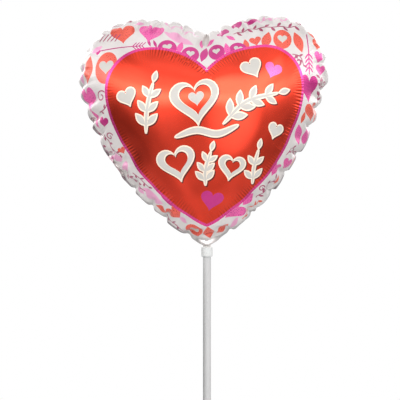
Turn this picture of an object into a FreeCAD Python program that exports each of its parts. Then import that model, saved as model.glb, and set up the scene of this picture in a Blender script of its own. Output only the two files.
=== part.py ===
import FreeCAD, Part
import math
import os
import Sketcher
from FreeCAD import Vector

# Heart-shaped foil balloon on its stick.
# Frame: origin at the centre of the stick's lower end, +Z up the stick, the printed front
# towards -Y. Millimetres.

DIMENSIONS = {
    # the stick, a thin plastic tube
    "stick_radius": 3.175,
    "stick_wall": 0.5,
    "stick_length": 280.0,
    # its end, squeezed in a little where the cup clamps it
    "clamped_radius": 2.975,
    "clamped_base": 276.6,
    # the clamp cup that traps the balloon's tail on the stick
    "cup_radius": 4.55,
    "cup_base": 276.8,
    "cup_height": 7.7,
    "cup_bottom_round": 1.1,
    "cup_top_round": 0.4,
    "running_gap": 0.05,
    # the film: thicker here than the real foil, so that the walls mesh cleanly
    "film": 0.3,
    "tail_film": 0.2,
    "valve_film": 0.15,
    # the tail: a sleeve over the stick's end that flattens to the throat
    "tail_gap": 0.03,
    "tail_base": 277.2,
    "tail_shoulder": 281.0,
    "throat_height": 285.0,
    "throat_gap": 0.3,
    "throat_half_width": 3.1,
    "throat_sag": 0.75,
    # the heart's outline: side arcs, lobe arcs and the shallow arcs that meet at the notch
    "lobe_centre": 52.3,
    "lobe_rise": 135.3,
    "lobe_radius": 47.0,
    "side_radius": 200.0,
    "side_turn": 15.5,
    "notch_radius": 98.7,
    "flange_width": 5.0,
    # the inflated depth and where the crown of each panel lies
    "half_depth": 46.0,
    "crown_drop": 22.0,
    # the neck channel through the seal, and the flat valve that lies in it
    "channel_half_width": 2.8,
    "channel_depth": 0.25,
    "channel_height": 9.0,
    "valve_neck_half_width": 2.5,
    "valve_neck_height": 9.0,
    "valve_half_width": 6.0,
    "valve_shoulder": 16.0,
    "valve_height": 46.0,
    "valve_gap": 0.05,
}

# Steps from the seam (0 degrees) to the crown (90 degrees) of the dome's profile.
DOME_STEPS = (0, 14, 30, 48, 66, 80)

doc = FreeCAD.newDocument("foil_balloon")
sheet = doc.addObject("Spreadsheet::Sheet", "sizes")


def fill_sheet():
    for row, (alias, value) in enumerate(DIMENSIONS.items(), start=1):
        sheet.set(f"A{row}", alias)
        sheet.set(f"B{row}", str(value))
        sheet.setAlias(f"B{row}", alias)
    doc.recompute()


def origin_plane(body, role):
    return next(item for item in body.Origin.OriginFeatures if item.Role == role)


def new_body(label):
    body = doc.addObject("PartDesign::Body", label)
    body.Label = label
    return body


def new_sketch(body, name, plane, offset="0"):
    """A sketch on one of the body's own origin planes, moved along the plane's normal."""
    sketch = body.newObject("Sketcher::SketchObject", name)
    sketch.AttachmentSupport = [(origin_plane(body, plane), "")]
    sketch.MapMode = "FlatFace"
    sketch.setExpression("AttachmentOffset.Base.z", offset)
    return sketch


def arc(centre, radius, start, end):
    circle = Part.Circle(Vector(centre[0], centre[1], 0), Vector(0, 0, 1), radius)
    return Part.ArcOfCircle(circle, start, end)


def bind(sketch, constraint, expression):
    """Add a datum constraint and bind it to the sheet."""
    index = sketch.addConstraint(constraint)
    sketch.setExpression(f"Constraints[{index}]", expression)


def add_circle(sketch, radius, expression):
    centred = Part.Circle(Vector(0, 0, 0), Vector(0, 0, 1), radius)
    circle = sketch.addGeometry(centred)
    sketch.addConstraint(Sketcher.Constraint("Coincident", circle, 3, -1, 1))
    bind(sketch, Sketcher.Constraint("Radius", circle, radius), expression)


def add_polygon(sketch, corners):
    """A polygon of (x value, x expression, y value, y expression) corners."""
    count = len(corners)
    lines = []
    for start, end in zip(corners, corners[1:] + corners[:1]):
        a = Vector(start[0], start[2], 0)
        b = Vector(end[0], end[2], 0)
        lines.append(sketch.addGeometry(Part.LineSegment(a, b)))
    for number, line in enumerate(lines):
        following = lines[(number + 1) % count]
        sketch.addConstraint(Sketcher.Constraint("Coincident", line, 2, following, 1))
    for line, (x, x_expression, y, y_expression) in zip(lines, corners):
        bind(sketch, Sketcher.Constraint("DistanceX", -1, 1, line, 1, x), x_expression)
        bind(sketch, Sketcher.Constraint("DistanceY", -1, 1, line, 1, y), y_expression)


def pad(body, name, sketch, length):
    feature = body.newObject("PartDesign::Pad", name)
    feature.Profile = sketch
    feature.setExpression("Length", length)
    return feature


def pocket(body, name, sketch, length, reverse=False):
    feature = body.newObject("PartDesign::Pocket", name)
    feature.Profile = sketch
    feature.Reversed = reverse
    feature.setExpression("Length", length)
    return feature


def loft(body, kind, name, sketches, ruled=False):
    feature = body.newObject(f"PartDesign::{kind}", name)
    feature.Profile = sketches[0]
    feature.Sections = sketches[1:]
    feature.Ruled = ruled
    return feature


def add_heart(sketch, inset, scale):
    """The heart's outline, drawn `inset` inside the cut edge and scaled about the crown.

    Six arcs: side, lobe and notch arc on the right, and the same three on the left.
    """
    size = DIMENSIONS
    turn = math.radians(size["side_turn"])
    crown = size["throat_height"] + size["lobe_rise"] - size["crown_drop"]
    lobe = Vector(size["lobe_centre"], size["crown_drop"], 0) * scale
    reach = size["side_radius"] - size["lobe_radius"]
    side = lobe + Vector(-math.cos(turn), math.sin(turn), 0) * reach * scale
    shallow = lobe - Vector(0, size["notch_radius"] - size["lobe_radius"], 0) * scale
    side_radius = (size["side_radius"] - inset) * scale
    lobe_radius = (size["lobe_radius"] - inset) * scale
    notch_radius = (size["notch_radius"] - inset) * scale
    tip_angle = -math.acos(-side.x / side_radius)
    notch_angle = math.acos(-shallow.x / notch_radius)
    top = math.pi / 2
    up = Vector(0, crown, 0)
    right = [
        sketch.addGeometry(arc(side + up, side_radius, tip_angle, -turn)),
        sketch.addGeometry(arc(lobe + up, lobe_radius, -turn, top)),
        sketch.addGeometry(arc(shallow + up, notch_radius, top, notch_angle)),
    ]
    left = [
        sketch.addGeometry(
            arc(flip(shallow) + up, notch_radius, math.pi - notch_angle, top)
        ),
        sketch.addGeometry(arc(flip(lobe) + up, lobe_radius, top, math.pi + turn)),
        sketch.addGeometry(
            arc(flip(side) + up, side_radius, math.pi + turn, math.pi - tip_angle)
        ),
    ]
    chain = right + left
    smooth = (True, True, False, True, True, False)
    for number, joined in enumerate(smooth):
        first, second = chain[number], chain[(number + 1) % 6]
        kind = "Tangent" if joined else "Coincident"
        sketch.addConstraint(Sketcher.Constraint(kind, first, 2, second, 1))
    side_arc, lobe_arc, notch_arc = right
    sketch.addConstraint(Sketcher.Constraint("PointOnObject", side_arc, 1, -2))
    sketch.addConstraint(Sketcher.Constraint("PointOnObject", notch_arc, 2, -2))
    sketch.addConstraint(Sketcher.Constraint("Symmetric", lobe_arc, 3, left[1], 3, -2))
    for arc_right, arc_left in zip(right, reversed(left)):
        sketch.addConstraint(Sketcher.Constraint("Equal", arc_right, arc_left))
    radii = ((side_arc, side_radius, "side_radius"),
             (lobe_arc, lobe_radius, "lobe_radius"),
             (notch_arc, notch_radius, "notch_radius"))
    for index, radius, alias in radii:
        bind(sketch, Sketcher.Constraint("Radius", index, radius),
             f"(sizes.{alias} - {inset}) * {scale}")
    place = lobe + up
    bind(sketch, Sketcher.Constraint("DistanceX", -1, 1, lobe_arc, 3, place.x),
         f"sizes.lobe_centre * {scale}")
    bind(sketch, Sketcher.Constraint("DistanceY", -1, 1, lobe_arc, 3, place.y),
         "sizes.throat_height + sizes.lobe_rise"
         f" - sizes.crown_drop * (1 - {scale})")
    bind(sketch, Sketcher.Constraint("DistanceX", -1, 1, notch_arc, 3, place.x),
         f"sizes.lobe_centre * {scale}")
    bind(sketch, Sketcher.Constraint("DistanceX", side_arc, 3, -1, 1, -side.x),
         "((sizes.side_radius - sizes.lobe_radius) * cos(sizes.side_turn * 1 deg)"
         f" - sizes.lobe_centre) * {scale}")


def flip(point):
    return Vector(-point.x, point.y, 0)


def dome_sections(body, name, facing, skin):
    """Heart sections from the seam to the crown, `skin` inside the outer surface.

    The sketch plane's normal is -Y, so facing is +1 for the front and -1 for the rear.
    """
    size = DIMENSIONS
    half_width = size["lobe_centre"] + size["lobe_radius"] - size["flange_width"]
    sketches = []
    for number, angle in enumerate(DOME_STEPS):
        turn = math.radians(angle)
        scale = round(math.cos(turn) ** 0.85 * (1 - skin / half_width), 5)
        rise = round(math.sin(turn) / math.sin(math.radians(DOME_STEPS[-1])), 5)
        offset = f"{facing} * (sizes.half_depth - {skin}) * {rise}"
        sketch = new_sketch(body, f"{name}_{number}", "XZ_Plane", offset)
        add_heart(sketch, size["flange_width"], scale)
        sketches.append(sketch)
    return sketches


def add_rectangle(sketch, half_width, half_expression, height, height_expression):
    base = DIMENSIONS["throat_height"] + DIMENSIONS["throat_gap"]
    low = "sizes.throat_height + sizes.throat_gap"
    high = f"{low} + {height_expression}"
    add_polygon(sketch, [
        (half_width, half_expression, base, low),
        (half_width, half_expression, base + height, high),
        (-half_width, f"-({half_expression})", base + height, high),
        (-half_width, f"-({half_expression})", base, low),
    ])


def foil_panel(label, facing):
    """One printed film: its dome, its half of the sealed flange and its neck channel."""
    size = DIMENSIONS
    body = new_body(label)
    outer = dome_sections(body, f"{label}_outer", facing, 0)
    inner = dome_sections(body, f"{label}_inner", facing, size["film"])
    loft(body, "AdditiveLoft", f"{label}_dome", outer)
    loft(body, "SubtractiveLoft", f"{label}_hollow", inner)

    half_width = size["lobe_centre"] + size["lobe_radius"] - size["flange_width"]
    flange = new_sketch(body, f"{label}_flange_outline", "XZ_Plane")
    add_heart(flange, 0, 1)
    add_heart(flange, size["flange_width"], round(1 - size["film"] / half_width, 5))
    seal = pad(body, f"{label}_flange", flange, "sizes.film")
    seal.Reversed = facing < 0

    raised = new_sketch(body, f"{label}_channel_outline", "XZ_Plane")
    add_rectangle(raised, size["channel_half_width"] + size["film"],
                  "sizes.channel_half_width + sizes.film",
                  size["channel_height"], "sizes.channel_height")
    block = pad(body, f"{label}_channel_wall", raised, "sizes.film + sizes.channel_depth")
    block.Reversed = facing < 0
    doc.recompute()
    walled = block.Shape.Volume

    opening = new_sketch(body, f"{label}_channel_opening", "XZ_Plane")
    add_rectangle(opening, size["channel_half_width"], "sizes.channel_half_width",
                  size["channel_height"] + size["film"],
                  "sizes.channel_height + sizes.film")
    channel = pocket(body, f"{label}_channel", opening, "sizes.channel_depth", facing > 0)
    doc.recompute()
    if channel.Shape.Volume >= walled:
        raise RuntimeError(f"{label}: the neck channel cut nothing")
    return body


def half_ring(sketch, facing, outer, inner):
    """A half ring that opens towards the middle plane.

    outer and inner are (half width, its expression, sag, its expression) of the two arcs.
    """
    arcs = []
    for half, half_expression, sag, sag_expression in (outer, inner):
        radius = (half * half + sag * sag) / (2 * sag)
        level = radius - sag
        spread = math.asin(half / radius)
        middle = -facing * math.pi / 2
        geometry = arc((0, facing * level), radius, middle - spread, middle + spread)
        index = sketch.addGeometry(geometry)
        level_expression = (f"{facing} * (({half_expression})^2 - ({sag_expression})^2)"
                            f" / (2 * ({sag_expression}))")
        sketch.addConstraint(Sketcher.Constraint("PointOnObject", index, 1, -1))
        sketch.addConstraint(Sketcher.Constraint("Symmetric", index, 1, index, 2, -2))
        end = 2 if facing > 0 else 1
        bind(sketch, Sketcher.Constraint("DistanceX", -1, 1, index, end, half),
             half_expression)
        bind(sketch, Sketcher.Constraint("DistanceY", -1, 1, index, 3, facing * level),
             level_expression)
        arcs.append(index)
    half_out, half_in = outer[0], inner[0]
    for end, side in ((2, 1), (1, -1)):
        direction = side * facing
        line = sketch.addGeometry(Part.LineSegment(
            Vector(direction * half_in, 0, 0), Vector(direction * half_out, 0, 0)))
        sketch.addConstraint(Sketcher.Constraint("Coincident", line, 1, arcs[1], end))
        sketch.addConstraint(Sketcher.Constraint("Coincident", line, 2, arcs[0], end))


def neck_tail(label, facing):
    """Half of the film tail: a sleeve round the stick's end that flattens to the throat."""
    size = DIMENSIONS
    body = new_body(label)
    sleeve_in = size["clamped_radius"] + size["tail_gap"]
    sleeve_out = sleeve_in + size["tail_film"]
    inside = "sizes.clamped_radius + sizes.tail_gap"
    outside = f"{inside} + sizes.tail_film"
    sleeve = ((sleeve_out, outside, sleeve_out, outside),
              (sleeve_in, inside, sleeve_in, inside))
    width = size["throat_half_width"]
    sag = size["throat_sag"]
    film = size["film"]
    flat = ((width, "sizes.throat_half_width", sag, "sizes.throat_sag"),
            (width - film, "sizes.throat_half_width - sizes.film",
             sag - film, "sizes.throat_sag - sizes.film"))
    levels = (("base", "sizes.tail_base", sleeve),
              ("shoulder", "sizes.tail_shoulder", sleeve),
              ("throat", "sizes.throat_height - sizes.throat_gap", flat))
    sketches = []
    for name, height, (outer, inner) in levels:
        sketch = new_sketch(body, f"{label}_{name}", "XY_Plane", height)
        half_ring(sketch, facing, outer, inner)
        sketches.append(sketch)
    loft(body, "AdditiveLoft", f"{label}_sleeve", sketches, ruled=True)
    return body


def valve_sheet(label, facing):
    """One film of the flat self-closing valve inside the balloon."""
    size = DIMENSIONS
    body = new_body(label)
    sketch = new_sketch(body, f"{label}_outline", "XZ_Plane",
                        f"{facing} * sizes.valve_gap")
    base = size["throat_height"] + 2 * size["throat_gap"]
    low = "sizes.throat_height + 2 * sizes.throat_gap"
    steps = ((size["valve_neck_half_width"], "valve_neck_half_width", 0, "0"),
             (size["valve_neck_half_width"], "valve_neck_half_width",
              size["valve_neck_height"], "sizes.valve_neck_height"),
             (size["valve_half_width"], "valve_half_width",
              size["valve_shoulder"], "sizes.valve_shoulder"),
             (size["valve_half_width"], "valve_half_width",
              size["valve_height"], "sizes.valve_height"))
    right = [(x, f"sizes.{alias}", base + rise, f"{low} + {rise_expression}")
             for x, alias, rise, rise_expression in steps]
    left = [(-x, f"-{expression}", y, y_expression)
            for x, expression, y, y_expression in reversed(right)]
    add_polygon(sketch, right + left)
    sheet_pad = pad(body, f"{label}_sheet", sketch, "sizes.valve_film")
    sheet_pad.Reversed = facing < 0
    return body


def tube_section(body, name, height, outer, outer_expression, inner, inner_expression):
    sketch = new_sketch(body, name, "XY_Plane", height)
    add_circle(sketch, outer, outer_expression)
    add_circle(sketch, inner, inner_expression)
    return sketch


def stick_tube():
    """The hollow stick: its long shank, then the end that the cup clamps."""
    size = DIMENSIONS
    body = new_body("stick_tube")
    bore = size["stick_radius"] - size["stick_wall"]
    bore_expression = "sizes.stick_radius - sizes.stick_wall"
    shank = tube_section(body, "shank_section", "0", size["stick_radius"],
                         "sizes.stick_radius", bore, bore_expression)
    pad(body, "shank", shank, "sizes.clamped_base")
    end = tube_section(body, "clamped_section", "sizes.clamped_base",
                       size["clamped_radius"], "sizes.clamped_radius",
                       bore, bore_expression)
    pad(body, "clamped_end", end, "sizes.stick_length - sizes.clamped_base")
    return body


def outer_rim(shape, radius, height):
    """Name of the circular edge of this radius at this height."""
    for number, edge in enumerate(shape.Edges, start=1):
        curve = edge.Curve
        if (isinstance(curve, Part.Circle) and abs(curve.Radius - radius) < 1e-6
                and abs(curve.Center.z - height) < 1e-6):
            return f"Edge{number}"
    raise RuntimeError("no such rim")


def clamp_cup():
    """A short sleeve, rounded at both ends, that closes over the tail on the stick's end."""
    size = DIMENSIONS
    body = new_body("clamp_cup")
    bore = (size["clamped_radius"] + size["tail_gap"] + size["tail_film"]
            + size["running_gap"])
    bore_expression = ("sizes.clamped_radius + sizes.tail_gap + sizes.tail_film"
                       " + sizes.running_gap")
    section = tube_section(body, "cup_section", "sizes.cup_base", size["cup_radius"],
                           "sizes.cup_radius", bore, bore_expression)
    pad(body, "cup_wall", section, "sizes.cup_height")
    doc.recompute()

    base = size["cup_base"]
    rims = (("cup_bottom_round", base), ("cup_top_round", base + size["cup_height"]))
    for alias, height in rims:
        below = body.Tip
        rounded = body.newObject("PartDesign::Fillet", alias + "_fillet")
        rounded.Base = (below, [outer_rim(below.Shape, size["cup_radius"], height)])
        rounded.setExpression("Radius", f"sizes.{alias}")
        doc.recompute()
    return body


def check_document():
    for item in doc.Objects:
        if "Invalid" in item.State or "Error" in item.State:
            raise RuntimeError(f"{item.Label} failed: {item.State}")


def export(bodies):
    os.makedirs("parts", exist_ok=True)
    for body in bodies:
        shape = body.Shape
        if shape.isNull() or not shape.isValid():
            raise RuntimeError(f"{body.Label} has no valid shape")
        if len(shape.Solids) != 1:
            raise RuntimeError(f"{body.Label} has {len(shape.Solids)} solids")
        shape.exportStep(f"parts/{body.Label}.step")
        print(body.Label, round(shape.Volume, 2), "mm3")


fill_sheet()
made = [
    stick_tube(),
    clamp_cup(),
    neck_tail("front_neck_tail", 1),
    neck_tail("rear_neck_tail", -1),
    foil_panel("front_foil_panel", 1),
    foil_panel("rear_foil_panel", -1),
    valve_sheet("valve_film_front", 1),
    valve_sheet("valve_film_rear", -1),
]
doc.recompute()
check_document()
export(made)
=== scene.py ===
"""The look of a heart-shaped foil balloon on a stick.

The two films are cut flat, printed, welded along the seam and blown up by a small
membrane solver, as the real ones are. The solver's long folds are then smoothed away,
and creases and fine crimps are added. The solver and the print work on the flat pattern:
millimetres, x to the right and z up from the tip of the seam, seen from the front, which
faces -Y. Blender's objects are in metres, in the CAD's frame.
"""
import math

import bmesh
import bpy
import numpy as np
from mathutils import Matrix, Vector
from mathutils.bvhtree import BVHTree
from mathutils.geometry import delaunay_2d_cdt
from mathutils.kdtree import KDTree


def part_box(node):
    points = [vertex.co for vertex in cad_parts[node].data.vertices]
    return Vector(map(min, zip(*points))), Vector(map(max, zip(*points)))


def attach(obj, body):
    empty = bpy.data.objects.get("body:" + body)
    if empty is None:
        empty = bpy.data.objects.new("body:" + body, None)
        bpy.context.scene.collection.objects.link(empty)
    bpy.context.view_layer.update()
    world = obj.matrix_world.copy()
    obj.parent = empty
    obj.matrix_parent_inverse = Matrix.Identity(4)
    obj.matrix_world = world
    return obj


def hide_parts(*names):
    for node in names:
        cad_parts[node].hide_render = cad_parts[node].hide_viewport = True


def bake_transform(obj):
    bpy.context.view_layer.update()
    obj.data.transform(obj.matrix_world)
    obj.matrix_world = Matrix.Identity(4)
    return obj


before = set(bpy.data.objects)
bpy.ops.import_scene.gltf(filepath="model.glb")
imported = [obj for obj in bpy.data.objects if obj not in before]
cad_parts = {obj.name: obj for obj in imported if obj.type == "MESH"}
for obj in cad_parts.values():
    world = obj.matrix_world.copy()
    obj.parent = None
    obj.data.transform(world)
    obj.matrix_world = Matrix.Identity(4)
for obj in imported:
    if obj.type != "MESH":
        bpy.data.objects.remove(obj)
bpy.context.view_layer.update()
MM = 0.001

# The flat pattern: the seam of the heart, and the welded flange outside it.
SEAM = dict(lobe_x=56.5, lobe_radius=50.5, side_radius=165, side_turn=8, notch_radius=286)
FLANGE = 4.3
# The pitch of the solver's mesh, and of the finer one that the print is cut into.
MESH = 1.8
PRINT_MESH = 1.3

# The seam's place once the balloon is full: a smaller heart with a scalloped line. The
# seam stays smooth within CALM_TIP of its tip, where the cup holds the film flat.
FULL_SEAM = dict(lobe_x=52.3, lobe_radius=41.0, side_radius=194, side_turn=15.5, notch_radius=112)
CALM_TIP = 9.0
# The scallops are larger at the tip than at the notch, and uneven.
SCALLOPS_RIGHT = 18
SCALLOPS_LEFT = 22
SCALLOP_GROWTH = 0.35
SCALLOP_SPREAD = 0.22
# How far the seam strays and tucks itself out of its plane, and how wide a cusp is.
SEAM_LEAN = 0.6
SEAM_TUCK = 0.9
CUSP_WIDTH = 1.8

# The membrane solver. A spring's stiffness is 1 and a point's mass is 1.
STEPS = 4000
TIME_STEP = 0.42
BENDING = 0.0023
# How much of its stiffness the flange loses at a cusp, and how the flat films start: uneven,
# and this far either side of the seam's plane.
CUSP_SLACK = 0.95
START_NOISE = 0.04
START_GAP = 0.5
# How hard the seam is pulled to its place, and the share of the steps that it takes.
GUIDE = 0.05
GUIDE_SHARE = 0.4
# The film fills under the first pressure and settles under the last.
FIRST_PRESSURE = 3.6e-4
LAST_PRESSURE = 7.0e-5
SETTLE_START = 0.45
SETTLE_SHARE = 0.25
FIRST_DAMPING = 0.996
LAST_DAMPING = 0.99
PRESSURE_EVERY = 4

# The red heart of the print, and how far its tip is above the seam's.
RED_HEART = dict(lobe_x=43, lobe_radius=34.5, side_radius=139, side_turn=12, notch_radius=56.2)
RED_LIFT = 19.6

# The solver's folds fade out between these distances from the seam.
FOLDS_FADE = 13.0
FOLDS_END = 25.0
CALM_ROUNDS = 90

# Where the flange's edge is bare metal darkened with a painted shade, as shares of the way round from the
# tip.
SHADED_BARE_RANGES = ((0.06, 0.2), (0.27, 0.4), (0.72, 0.96))

# A crease runs in from each of the seam's cusps, and widens as it goes.
CREASE_DEPTH = 1.1
CREASE_REACH = (12, 24)
CREASE_WIDTH = 0.7
CREASE_FLARE = 0.08

# The flange's edge curls to the rear, outside a strip along the seam, and unevenly.
CURL_START = 1.2
CURL_STRENGTH = (0.3, 1.5)

# The unwelded neck at the tip, which holds the valve, stands this far off.
NECK_BULGE = 0.4
NECK_HALF_WIDTH = 3.4
NECK_END = 16
NECK_FADE = 8

# Fine crimps across the red heart's edge: their pitch, height and reach either side of it.
CRIMP_PITCH = 2.4
CRIMP_HEIGHT = 0.5
CRIMP_OUTSIDE = 3.0
CRIMP_INSIDE = 9.0
# How strong the crimps are, by the share of the way round from the tip, up the right side.
CRIMP_STRENGTH = ((0, 0.3), (0.04, 0.8), (0.1, 1), (0.27, 1), (0.32, 0.15), (0.39, 0.15), (0.43, 1),
                  (0.47, 1.9), (0.53, 1.9), (0.58, 0.9), (0.62, 0.1), (0.78, 0.1), (0.82, 1),
                  (0.95, 0.9), (1, 0.3))

# The films' thickness, and the tail's radius and pleats round the stick. It gathers over
# this height, from this far below the cup's top.
FILM = 0.1 * MM
TAIL_FILM = 0.06 * MM
TAIL_RADIUS = 3.12 * MM
PLEAT_HEIGHT = 0.05 * MM
GATHER_START = 3.4 * MM
GATHER_HEIGHT = 3.2 * MM
TAIL_ROWS = 26
TAIL_COLUMNS = 60

# The full balloon isn't quite even: its right lobe is the higher and its left the wider.
RIGHT_LIFT = 0.024
LEFT_WIDEN = 0.027

# Each ink's colour, how metallic it is and how rough. The red and the rim's pink are clear
# inks on bright metal, the flange's bare metal is darkened as painted shade, and the others are printed over
# white.
INK_FINISH = {
    "pearl": ("D6D0CE", 0.28, 0.3),
    "red": ("F23F22", 1.0, 0.17),
    "rim_pink": ("F2489C", 0.85, 0.2),
    "coral": ("E9604F", 0.5, 0.28),
    "pink": ("EC5FA8", 0.5, 0.28),
    "blush": ("E8A3C6", 0.4, 0.3),
    "plum": ("CB2F86", 0.6, 0.26),
    "white": ("BEBAB4", 0.0, 0.5),
    "cream": ("ECDCC8", 0.1, 0.36),
    "umber": ("6A1A12", 0.6, 0.3),
    "berry": ("A8496A", 0.4, 0.3),
    # Painted shade: the flange's bare metal in a darker tone, standing in for the dark reflections at its
    # edge.
    "shaded_bare": ("A38991", 1.0, 0.25),
}
INKS = list(INK_FINISH)

# The camera's distance in metres; its place and its view's width in widths of the balloon.
CAMERA_DISTANCE = 1.2
CAMERA_X = -0.0277
CAMERA_Z = 0.183
VIEW_WIDTH = 1.59
FLOOR_SIDE = 1.15

# The dome's light by height, from -1 at the bottom to 1 at the top. Its soft panes are
# (towards, edge, core, light): bright at the camera's right, dark at the left and above.
BAND = ((-1.0, 0.74), (-0.5, 0.62), (-0.3, 0.62), (-0.13, 0.8), (0.05, 1.2), (0.12, 2.4),
        (0.22, 4.2), (0.3, 4.2), (0.4, 2.4), (0.56, 1.6), (0.75, 1.2), (1.0, 1.1))
PANES = (((0.335, -0.919, -0.208), 0.94, 0.99, 0.95),
         ((0.372, -0.73, 0.574), 0.95, 0.995, 2.2),
         ((-0.95, -0.2, -0.24), 0.86, 0.98, -0.22),
         ((-0.58, -0.1, 0.81), 0.86, 0.97, -0.75),
         ((0.58, -0.1, 0.81), 0.86, 0.97, -0.75))


# ---------- flat outlines

def arc(centre, radius, start, end, step):
    """Points along an arc, from the angle start up to, but not at, the angle end."""
    count = max(2, round(abs(end - start) * radius / step))
    angles = start + (end - start) * np.arange(count) / count
    return centre + radius * np.stack([np.cos(angles), np.sin(angles)], 1)


def heart_outline(step, lobe_x, lobe_radius, side_radius, side_turn, notch_radius):
    """A heart of three arcs a side, from its tip at 0, 0 up the right side and round."""
    turn = math.radians(side_turn)
    lobe = np.array([lobe_x, 0.0])
    side = lobe + (side_radius - lobe_radius) * np.array([-math.cos(turn), math.sin(turn)])
    tip = side[1] - math.sqrt(side_radius ** 2 - side[0] ** 2)
    lobe[1] -= tip
    side[1] -= tip
    notch = lobe - np.array([0, notch_radius - lobe_radius])
    top = notch[1] + math.sqrt(notch_radius ** 2 - lobe_x ** 2)
    right = np.vstack([
        arc(side, side_radius, math.atan2(-side[1], -side[0]), -turn, step),
        arc(lobe, lobe_radius, -turn, math.pi / 2, step),
        arc(notch, notch_radius, math.pi / 2, math.atan2(top - notch[1], -lobe_x), step),
    ])
    left = right[:0:-1] * np.array([-1, 1])
    return np.vstack([right, [[0, top]], left])


def cross(u, v):
    """The cross product of each pair of flat vectors."""
    return u[:, 0] * v[:, 1] - u[:, 1] * v[:, 0]


def tangents(outline):
    """The direction of a closed outline at each of its points."""
    along = np.roll(outline, -1, 0) - np.roll(outline, 1, 0)
    return along / np.linalg.norm(along, axis=1)[:, None]


def offset(outline, distance):
    """The closed outline moved outwards."""
    along = tangents(outline)
    return outline + distance * np.stack([along[:, 1], -along[:, 0]], 1)


def lengths(outline):
    """The length along a closed outline at each of its points, and all of it."""
    steps = np.linalg.norm(np.roll(outline, -1, 0) - outline, axis=1)
    return np.concatenate([[0], np.cumsum(steps)[:-1]]), steps.sum()


def anticlockwise(outline):
    return outline if cross(outline, np.roll(outline, -1, 0)).sum() > 0 else outline[::-1]


def inside(points, outline):
    """Which points a closed outline holds."""
    held = np.zeros(len(points), bool)
    low, high = outline.min(0), outline.max(0)
    near = np.nonzero(((points > low) & (points < high)).all(1))[0]
    x, z = points[near, 0], points[near, 1]
    odd = np.zeros(len(near), bool)
    for (x1, z1), (x2, z2) in zip(outline, np.roll(outline, -1, 0)):
        if z1 != z2:
            odd ^= ((z1 > z) != (z2 > z)) & (x < (x2 - x1) * (z - z1) / (z2 - z1) + x1)
    held[near] = odd
    return held


def grid(border, step):
    """A triangular grid of points inside a closed border."""
    low, high = border.min(0), border.max(0)
    rows = np.arange(low[1], high[1], step * math.sqrt(3) / 2)
    columns = np.arange(low[0], high[0], step)
    points = np.array([[x + 0.5 * step * (i % 2), z] for i, z in enumerate(rows) for x in columns])
    return points[inside(points, border)]


def search_tree(points):
    """A tree that finds the nearest of the points."""
    tree = KDTree(len(points))
    for i, (x, z) in enumerate(points):
        tree.insert((x, z, 0), i)
    tree.balance()
    return tree


def clear_of(points, others, distance):
    """The points that are more than distance away from all the others."""
    tree = search_tree(others)
    return points[[tree.find((x, z, 0))[2] > distance for x, z in points]]


def loop_edges(start, count):
    """The edges of a closed loop of points numbered from start."""
    return [(start + i, start + (i + 1) % count) for i in range(count)]


# ---------- the balloon's mesh

def panel_mesh(seam, step):
    """The flat panel inside the seam: its points, the seam's first, and its triangles."""
    inner = clear_of(grid(seam, step), seam, 0.75 * step)
    points = np.vstack([seam, inner])
    vectors = [Vector(point) for point in points]
    result = delaunay_2d_cdt(vectors, loop_edges(0, len(seam)), [], 1, 1e-6)
    triangles = np.array(result[2])
    return points, facing(points, triangles)


def facing(points, triangles):
    """The triangles, all turned anticlockwise."""
    a, b, c = points[triangles[:, 0]], points[triangles[:, 1]], points[triangles[:, 2]]
    return np.where((cross(b - a, c - a) < 0)[:, None], triangles[:, ::-1], triangles)


def balloon_mesh():
    """Both films, joined at the seam, and the welded flange that they share outside it."""
    seam = heart_outline(MESH, **SEAM)
    panel, front = panel_mesh(seam, MESH)
    ring, count = len(seam), len(panel)
    twin = np.arange(count)
    twin[ring:] += count - ring
    flat = [panel, panel[ring:]]
    rows = [np.arange(ring)]
    total = 2 * count - ring
    flange = []
    for share in (0.5, 1.0):
        rows.append(total + np.arange(ring))
        flat.append(offset(seam, FLANGE * share))
        total += ring
        a, b = rows[-2], rows[-1]
        a2, b2 = np.roll(a, -1), np.roll(b, -1)
        flange += [np.stack([a, b, b2], 1), np.stack([a, b2, a2], 1)]
    return dict(seam=seam, flat=np.vstack(flat), front=front, rear=twin[front][:, ::-1],
                flange=np.vstack(flange), rows=rows, count=count, ring=ring)


# ---------- inflation

def edge_table(triangles):
    """Each edge once and its number of uses; for each triangle's sides, the edge and the point across."""
    corners = triangles[:, [0, 1, 1, 2, 2, 0]].reshape(-1, 2)
    across = triangles[:, [2, 0, 1]].reshape(-1)
    edges, place, uses = np.unique(np.sort(corners, 1), axis=0, return_inverse=True, return_counts=True)
    return edges, uses, place.reshape(-1), across


def hinges_of(triangles):
    """Each edge once, which of them two triangles share, and the two points across each of those."""
    edges, uses, place, across = edge_table(triangles)
    order = np.argsort(place, kind="stable")
    first = np.concatenate([[0], np.cumsum(uses)[:-1]])
    shared = np.nonzero(uses == 2)[0]
    wings = np.stack([across[order[first[shared]]], across[order[first[shared] + 1]]], 1)
    return edges, shared, wings


def bending_weights(rest, hinges):
    """The four weights of each hinge's isometric bending energy, and its stiffness."""
    i, j, k, l = (rest[hinges[:, n]] for n in range(4))

    def cotangent(corner, one, two):
        u, v = one - corner, two - corner
        return (u * v).sum(1) / np.abs(cross(u, v))

    def area(one, two, three):
        return 0.5 * np.abs(cross(two - one, three - one))

    ik, il, jk, jl = cotangent(i, j, k), cotangent(i, j, l), cotangent(j, i, k), cotangent(j, i, l)
    weights = np.stack([jk + jl, ik + il, -ik - jk, -il - jl])
    stiffness = 3 / (area(i, j, k) + area(i, j, l))
    most = 2 / (weights ** 2).sum(0)
    return weights, BENDING * np.minimum(stiffness, most)


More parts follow.
